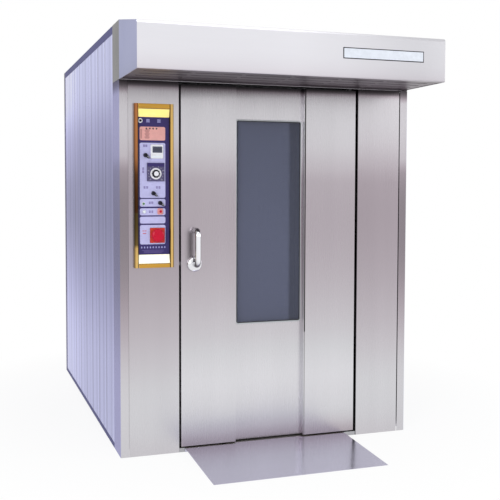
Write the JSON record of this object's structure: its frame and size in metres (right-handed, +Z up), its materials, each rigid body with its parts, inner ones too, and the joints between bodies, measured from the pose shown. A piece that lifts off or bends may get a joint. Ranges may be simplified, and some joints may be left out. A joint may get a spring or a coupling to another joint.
{
  "type": "rotating rack oven",
  "caption": "Walk-in bakery oven: steel cabinet with canopy, ramp, tall windowed door, lever latch and control panel; a hung rack turns in a hot chamber.",
  "frame": {"origin": "underside of the base, on the vertical axis that the rack turns about", "axes": "+X to the right seen from the front, +Y to the back, +Z up"},
  "size_m": [1.684, 2.87, 2.3],
  "materials": {
    "brushed_steel": "brushed",
    "side_steel": "brushed",
    "liner_steel": "satin",
    "galvanised": "satin",
    "chrome": "polished",
    "insulation_wool": "matte",
    "window_glass": "clear",
    "silicone": "matte",
    "motor_paint": "satin",
    "dark_steel": "satin",
    "bearing_bronze": "satin",
    "gold_trim": "anodised",
    "end_light": "gloss",
    "label_blue": "satin",
    "black_plastic": "satin",
    "white_plastic": "gloss",
    "red_plastic": "gloss",
    "lamp_lens": "gloss",
    "wheel_rubber": "matte"
  },
  "bodies": {
    "oven": {"base_pan": "liner_steel", "ramp": "brushed_steel", "left_front_column": "brushed_steel", "right_front_column": "brushed_steel", "corner_posts": "brushed_steel", "door_frame": "liner_steel", "portal_head": "brushed_steel", "side_panels": "side_steel", "side_rails": "side_steel", "rear_panels": "side_steel", "roof_deck": "galvanised", "insulation": "insulation_wool", "canopy_shell": "brushed_steel", "canopy_grille": "brushed_steel", "door_seal": "silicone", "pivot_pins": "dark_steel", "chamber_liner": "liner_steel", "side_air_walls": "liner_steel", "heating_elements": "dark_steel", "steam_cascade": "liner_steel", "fan_motor": "motor_paint", "shaft_bearing": "dark_steel", "gear_motor": "motor_paint", "drive_chain": "dark_steel", "flue_pipe": "galvanised", "panel_side_bars": "gold_trim", "panel_end_lights": "end_light", "control_plate": "label_blue", "control_box": "galvanised", "panel_instruments": "black_plastic", "pilot_lamps": "lamp_lens"},
    "door": {"door_core": "insulation_wool", "door_outer_skins": "brushed_steel", "door_inner_skin": "liner_steel", "window_frame": "brushed_steel", "window_panes": "window_glass", "pivot_bushes": "bearing_bronze"},
    "handle": {"handle": "chrome"},
    "latch": {"latch_bolt": "chrome"},
    "rack": {"hook_shaft": "liner_steel", "rack_sprocket": "dark_steel", "rack_frame": "liner_steel", "rack_runners": "liner_steel"},
    "pinion": {"motor_pinion": "dark_steel"},
    "fan": {"fan_wheel": "galvanised"},
    "damper": {"flue_damper": "galvanised"},
    "steam_knob": {"steam_selector": "black_plastic"},
    "fan_knob": {"fan_selector": "black_plastic"},
    "lamp_knob": {"lamp_selector": "black_plastic"},
    "dial": {"temperature_dial": "white_plastic"},
    "start": {"start_button": "red_plastic"},
    "stop": {"emergency_stop": "red_plastic"},
    "fork_front_left": {"caster_fork_front_left": "galvanised"},
    "wheel_front_left": {"caster_wheel_front_left": "wheel_rubber"},
    "fork_front_right": {"caster_fork_front_right": "galvanised"},
    "wheel_front_right": {"caster_wheel_front_right": "wheel_rubber"},
    "fork_rear_left": {"caster_fork_rear_left": "galvanised"},
    "wheel_rear_left": {"caster_wheel_rear_left": "wheel_rubber"},
    "fork_rear_right": {"caster_fork_rear_right": "galvanised"},
    "wheel_rear_right": {"caster_wheel_rear_right": "wheel_rubber"}
  },
  "joints": [
    {"name": "door_swing", "type": "hinge", "parent": "oven", "child": "door", "pos_m": [0.482, -0.76, 0], "axis": [0, 0, 1], "range_deg": [0, 115]},
    {"name": "handle_turn", "type": "hinge", "parent": "door", "child": "handle", "pos_m": [-0.439, -0.78, 1.022], "axis": [0, 1, 0], "range_deg": [0, 90]},
    {"name": "latch_slide", "type": "slide", "parent": "door", "child": "latch", "axis": [1, 0, 0], "range_m": [0, 0.02]},
    {"name": "rack_turn", "type": "hinge", "parent": "oven", "child": "rack", "pos_m": [0, 0, 0], "axis": [0, 0, 1], "continuous": true},
    {"name": "pinion_spin", "type": "hinge", "parent": "oven", "child": "pinion", "pos_m": [-0.24, 0.12, 2.123], "axis": [0, 0, 1], "continuous": true},
    {"name": "fan_spin", "type": "hinge", "parent": "oven", "child": "fan", "pos_m": [0, 0.951, 1.6], "axis": [0, 0, 1], "continuous": true},
    {"name": "damper_turn", "type": "hinge", "parent": "oven", "child": "damper", "pos_m": [0.38, 0.33, 2.123], "axis": [1, 0, 0], "range_deg": [0, 90]},
    {"name": "steam_select", "type": "hinge", "parent": "oven", "child": "steam_knob", "pos_m": [-0.707, -0.79, 1.603], "axis": [0, -1, 0], "range_deg": [0, 90]},
    {"name": "fan_select", "type": "hinge", "parent": "oven", "child": "fan_knob", "pos_m": [-0.665, -0.79, 1.403], "axis": [0, -1, 0], "range_deg": [0, 90]},
    {"name": "lamp_select", "type": "hinge", "parent": "oven", "child": "lamp_knob", "pos_m": [-0.629, -0.79, 1.352], "axis": [0, -1, 0], "range_deg": [0, 90]},
    {"name": "dial_turn", "type": "hinge", "parent": "oven", "child": "dial", "pos_m": [-0.653, -0.79, 1.506], "axis": [0, 1, 0], "range_deg": [0, 270]},
    {"name": "start_press", "type": "slide", "parent": "oven", "child": "start", "axis": [0, 1, 0], "range_m": [0, 0.004], "stiffness_N_per_m": 500},
    {"name": "stop_press", "type": "slide", "parent": "oven", "child": "stop", "axis": [0, 1, 0], "range_m": [0, 0.006]},
    {"name": "swivel_front_left", "type": "hinge", "parent": "rack", "child": "fork_front_left", "pos_m": [-0.33, -0.37, 0.14], "axis": [0, 0, 1], "continuous": true},
    {"name": "roll_front_left", "type": "hinge", "parent": "fork_front_left", "child": "wheel_front_left", "pos_m": [-0.33, -0.342, 0.081], "axis": [1, 0, 0], "continuous": true},
    {"name": "swivel_front_right", "type": "hinge", "parent": "rack", "child": "fork_front_right", "pos_m": [0.33, -0.37, 0.14], "axis": [0, 0, 1], "continuous": true},
    {"name": "roll_front_right", "type": "hinge", "parent": "fork_front_right", "child": "wheel_front_right", "pos_m": [0.33, -0.342, 0.081], "axis": [1, 0, 0], "continuous": true},
    {"name": "swivel_rear_left", "type": "hinge", "parent": "rack", "child": "fork_rear_left", "pos_m": [-0.33, 0.37, 0.14], "axis": [0, 0, 1], "continuous": true},
    {"name": "roll_rear_left", "type": "hinge", "parent": "fork_rear_left", "child": "wheel_rear_left", "pos_m": [-0.33, 0.398, 0.081], "axis": [1, 0, 0], "continuous": true},
    {"name": "swivel_rear_right", "type": "hinge", "parent": "rack", "child": "fork_rear_right", "pos_m": [0.33, 0.37, 0.14], "axis": [0, 0, 1], "continuous": true},
    {"name": "roll_rear_right", "type": "hinge", "parent": "fork_rear_right", "child": "wheel_rear_right", "pos_m": [0.33, 0.398, 0.081], "axis": [1, 0, 0], "continuous": true}
  ],
  "couplings": [
    {"joint": "latch_slide", "follows": "handle_turn", "m_per_rad": 0.0127},
    {"joint": "pinion_spin", "follows": "rack_turn", "ratio": 2}
  ]
}
